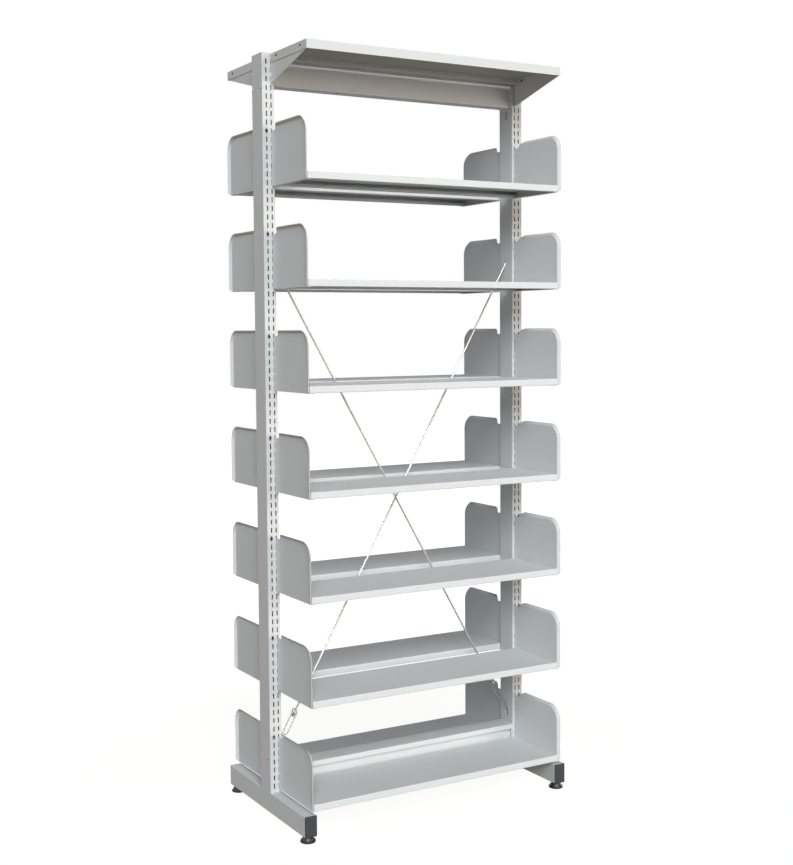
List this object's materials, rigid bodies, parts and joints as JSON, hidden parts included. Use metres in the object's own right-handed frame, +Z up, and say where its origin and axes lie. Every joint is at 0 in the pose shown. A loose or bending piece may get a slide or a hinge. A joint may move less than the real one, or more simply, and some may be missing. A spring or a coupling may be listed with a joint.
{
  "type": "double sided library shelving",
  "caption": "Free-standing double-sided steel library shelving bay with slotted posts, hooked shelves, canopy and crossed tension rods.",
  "frame": {"origin": "on the floor under the middle of the bay, at the underside of the levelling feet", "axes": "+X along the bay from the left post to the right post, the front shelves face -Y, +Z up"},
  "size_m": [0.933, 0.548, 2.2755],
  "materials": {
    "frame_paint": "light grey powder coat, satin",
    "shelf_paint": "light grey powder coat, satin",
    "canopy_paint": "light grey powder coat, satin",
    "bright_steel": "bright zinc plated rod",
    "zinc_fastener": "zinc plated",
    "black_fastener": "black oxide",
    "cap_plastic": "dark grey moulded plastic",
    "leveller_plastic": "black moulded plastic"
  },
  "bodies": {
    "bay_frame": {"post_left": "frame_paint", "post_right": "frame_paint", "post_screws": "zinc_fastener", "foot_left": "frame_paint", "foot_right": "frame_paint", "weld_nuts": "zinc_fastener", "top_beam": "frame_paint", "bottom_beam": "frame_paint", "beam_screws": "zinc_fastener", "canopy_front": "canopy_paint", "canopy_rear": "canopy_paint", "canopy_screws": "black_fastener", "brace_rod_left": "bright_steel", "brace_rod_right": "bright_steel", "tension_stirrup_left": "bright_steel", "tension_stirrup_right": "bright_steel", "foot_cap_front_left": "cap_plastic", "foot_cap_front_right": "cap_plastic", "foot_cap_rear_left": "cap_plastic", "foot_cap_rear_right": "cap_plastic", "canopy_bracket_front_left": "canopy_paint", "canopy_bracket_front_right": "canopy_paint", "canopy_bracket_rear_left": "canopy_paint", "canopy_bracket_rear_right": "canopy_paint"},
    "shelf_unit_front_1": {"shelf_front_1": "shelf_paint", "end_panels_front_1": "shelf_paint"},
    "shelf_unit_front_2": {"shelf_front_2": "shelf_paint", "end_panels_front_2": "shelf_paint"},
    "shelf_unit_front_3": {"shelf_front_3": "shelf_paint", "end_panels_front_3": "shelf_paint"},
    "shelf_unit_front_4": {"shelf_front_4": "shelf_paint", "end_panels_front_4": "shelf_paint"},
    "shelf_unit_front_5": {"shelf_front_5": "shelf_paint", "end_panels_front_5": "shelf_paint"},
    "shelf_unit_front_6": {"shelf_front_6": "shelf_paint", "end_panels_front_6": "shelf_paint"},
    "shelf_unit_front_7": {"shelf_front_7": "shelf_paint", "end_panels_front_7": "shelf_paint"},
    "shelf_unit_rear_1": {"shelf_rear_1": "shelf_paint", "end_panels_rear_1": "shelf_paint"},
    "shelf_unit_rear_2": {"shelf_rear_2": "shelf_paint", "end_panels_rear_2": "shelf_paint"},
    "shelf_unit_rear_3": {"shelf_rear_3": "shelf_paint", "end_panels_rear_3": "shelf_paint"},
    "shelf_unit_rear_4": {"shelf_rear_4": "shelf_paint", "end_panels_rear_4": "shelf_paint"},
    "shelf_unit_rear_5": {"shelf_rear_5": "shelf_paint", "end_panels_rear_5": "shelf_paint"},
    "shelf_unit_rear_6": {"shelf_rear_6": "shelf_paint", "end_panels_rear_6": "shelf_paint"},
    "shelf_unit_rear_7": {"shelf_rear_7": "shelf_paint", "end_panels_rear_7": "shelf_paint"},
    "levelling_foot_front_left": {"leveller_front_left": "leveller_plastic"},
    "levelling_foot_front_right": {"leveller_front_right": "leveller_plastic"},
    "levelling_foot_rear_left": {"leveller_rear_left": "leveller_plastic"},
    "levelling_foot_rear_right": {"leveller_rear_right": "leveller_plastic"},
    "tension_nut_left_turn": {"tension_nut_left": "zinc_fastener"},
    "tension_nut_right_turn": {"tension_nut_right": "zinc_fastener"}
  },
  "joints": [
    {"name": "lift_shelf_front_1", "type": "slide", "parent": "bay_frame", "child": "shelf_unit_front_1", "axis": [0, 0, 1], "range_m": [0, 0.0078]},
    {"name": "lift_shelf_front_2", "type": "slide", "parent": "bay_frame", "child": "shelf_unit_front_2", "axis": [0, 0, 1], "range_m": [0, 0.0078]},
    {"name": "lift_shelf_front_3", "type": "slide", "parent": "bay_frame", "child": "shelf_unit_front_3", "axis": [0, 0, 1], "range_m": [0, 0.0078]},
    {"name": "lift_shelf_front_4", "type": "slide", "parent": "bay_frame", "child": "shelf_unit_front_4", "axis": [0, 0, 1], "range_m": [0, 0.0078]},
    {"name": "lift_shelf_front_5", "type": "slide", "parent": "bay_frame", "child": "shelf_unit_front_5", "axis": [0, 0, 1], "range_m": [0, 0.0078]},
    {"name": "lift_shelf_front_6", "type": "slide", "parent": "bay_frame", "child": "shelf_unit_front_6", "axis": [0, 0, 1], "range_m": [0, 0.0078]},
    {"name": "lift_shelf_front_7", "type": "slide", "parent": "bay_frame", "child": "shelf_unit_front_7", "axis": [0, 0, 1], "range_m": [0, 0.0078]},
    {"name": "lift_shelf_rear_1", "type": "slide", "parent": "bay_frame", "child": "shelf_unit_rear_1", "axis": [0, 0, 1], "range_m": [0, 0.0078]},
    {"name": "lift_shelf_rear_2", "type": "slide", "parent": "bay_frame", "child": "shelf_unit_rear_2", "axis": [0, 0, 1], "range_m": [0, 0.0078]},
    {"name": "lift_shelf_rear_3", "type": "slide", "parent": "bay_frame", "child": "shelf_unit_rear_3", "axis": [0, 0, 1], "range_m": [0, 0.0078]},
    {"name": "lift_shelf_rear_4", "type": "slide", "parent": "bay_frame", "child": "shelf_unit_rear_4", "axis": [0, 0, 1], "range_m": [0, 0.0078]},
    {"name": "lift_shelf_rear_5", "type": "slide", "parent": "bay_frame", "child": "shelf_unit_rear_5", "axis": [0, 0, 1], "range_m": [0, 0.0078]},
    {"name": "lift_shelf_rear_6", "type": "slide", "parent": "bay_frame", "child": "shelf_unit_rear_6", "axis": [0, 0, 1], "range_m": [0, 0.0078]},
    {"name": "lift_shelf_rear_7", "type": "slide", "parent": "bay_frame", "child": "shelf_unit_rear_7", "axis": [0, 0, 1], "range_m": [0, 0.0078]},
    {"name": "level_front_left", "type": "slide", "parent": "bay_frame", "child": "levelling_foot_front_left", "axis": [0, 0, -1], "range_m": [0, 0.02]},
    {"name": "level_front_right", "type": "slide", "parent": "bay_frame", "child": "levelling_foot_front_right", "axis": [0, 0, -1], "range_m": [0, 0.02]},
    {"name": "level_rear_left", "type": "slide", "parent": "bay_frame", "child": "levelling_foot_rear_left", "axis": [0, 0, -1], "range_m": [0, 0.02]},
    {"name": "level_rear_right", "type": "slide", "parent": "bay_frame", "child": "levelling_foot_rear_right", "axis": [0, 0, -1], "range_m": [0, 0.02]},
    {"name": "turn_tension_nut_left", "type": "hinge", "parent": "bay_frame", "child": "tension_nut_left_turn", "pos_m": [-0.36595, 0.0035, 0.29547], "axis": [0.496, 0, 0.8683], "continuous": true},
    {"name": "turn_tension_nut_right", "type": "hinge", "parent": "bay_frame", "child": "tension_nut_right_turn", "pos_m": [0.36595, -0.0035, 0.29547], "axis": [-0.496, 0, 0.8683], "continuous": true}
  ]
}
